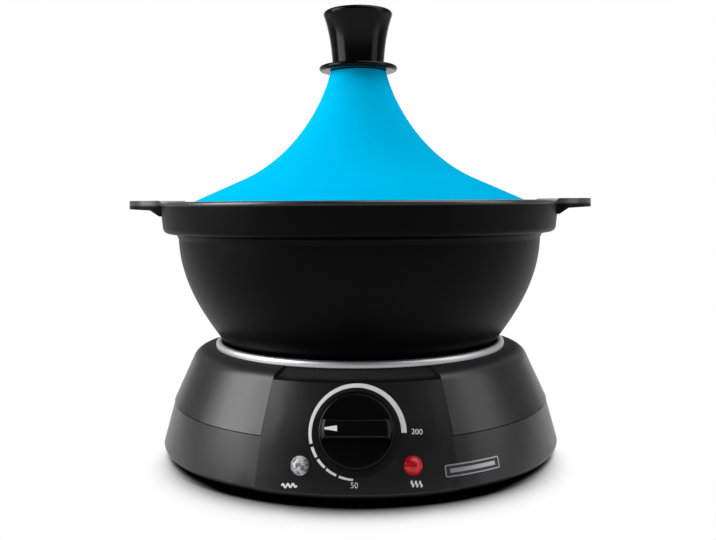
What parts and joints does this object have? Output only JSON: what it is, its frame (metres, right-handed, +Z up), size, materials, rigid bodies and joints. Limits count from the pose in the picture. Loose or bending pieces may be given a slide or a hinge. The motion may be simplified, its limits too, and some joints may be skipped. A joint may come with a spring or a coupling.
{
  "type": "electric tagine",
  "caption": "Electric tagine: black heated base with a thermostat dial and pilot lights, lift-out black pot with ear handles and a tall blue conical lift-off lid.",
  "frame": {"origin": "on the turning axis of base, pot and lid, at table level under the feet", "axes": "+Z up, the control panel faces -Y, the pot's two ears lie along +X and -X"},
  "size_m": [0.338, 0.2988, 0.3181],
  "materials": {
    "rubber_black": "matte",
    "base_black": "satin",
    "dial_black": "gloss",
    "grip_black": "satin",
    "pot_black": "satin",
    "lid_blue": "gloss",
    "ring_bright": "polished",
    "steel": "satin",
    "plate_grey": "satin",
    "element_dark": "satin",
    "insulator": "satin",
    "sensor_copper": "satin",
    "terminal_brass": "satin",
    "lens_clear": "gloss",
    "lens_red": "gloss",
    "lamp_glass": "gloss",
    "lead_cover": "satin"
  },
  "bodies": {
    "base": {"feet": "rubber_black", "base_plate": "base_black", "base_screws": "steel", "lower_housing": "base_black", "upper_housing": "base_black", "trim_ring": "ring_bright", "heat_shield": "steel", "heating_plate": "plate_grey", "plate_screws": "steel", "heating_element": "element_dark", "element_bushes": "insulator", "tie_bolt": "steel", "tie_nut": "steel", "sensor_bulb": "sensor_copper", "bulb_clips": "steel", "thermal_fuse": "insulator", "fuse_clip": "steel", "thermostat": "insulator", "thermostat_screws": "steel", "power_lens": "lens_clear", "heat_lens": "lens_red", "lamp_bulbs": "lamp_glass", "lamp_nuts": "base_black", "terminal_block": "insulator", "terminal_screws": "terminal_brass", "wiring": "lead_cover", "cord_gland": "rubber_black"},
    "pot": {"pot": "pot_black"},
    "lid": {"lid": "lid_blue", "lid_gasket": "rubber_black", "knob_collar": "grip_black", "lid_knob": "grip_black", "lid_screw": "steel", "lid_washer": "steel"},
    "dial": {"control_knob": "dial_black", "thermostat_shaft": "steel"}
  },
  "joints": [
    {"name": "pot_lift", "type": "slide", "parent": "base", "child": "pot", "axis": [0, 0, 1], "range_m": [0, 0.1]},
    {"name": "lid_lift", "type": "slide", "parent": "pot", "child": "lid", "axis": [0, 0, 1], "range_m": [0, 0.15]},
    {"name": "dial_turn", "type": "hinge", "parent": "base", "child": "dial", "pos_m": [0, -0.13426, 0.0428], "axis": [0, -0.9107, 0.413], "range_deg": [-180, 90]}
  ]
}
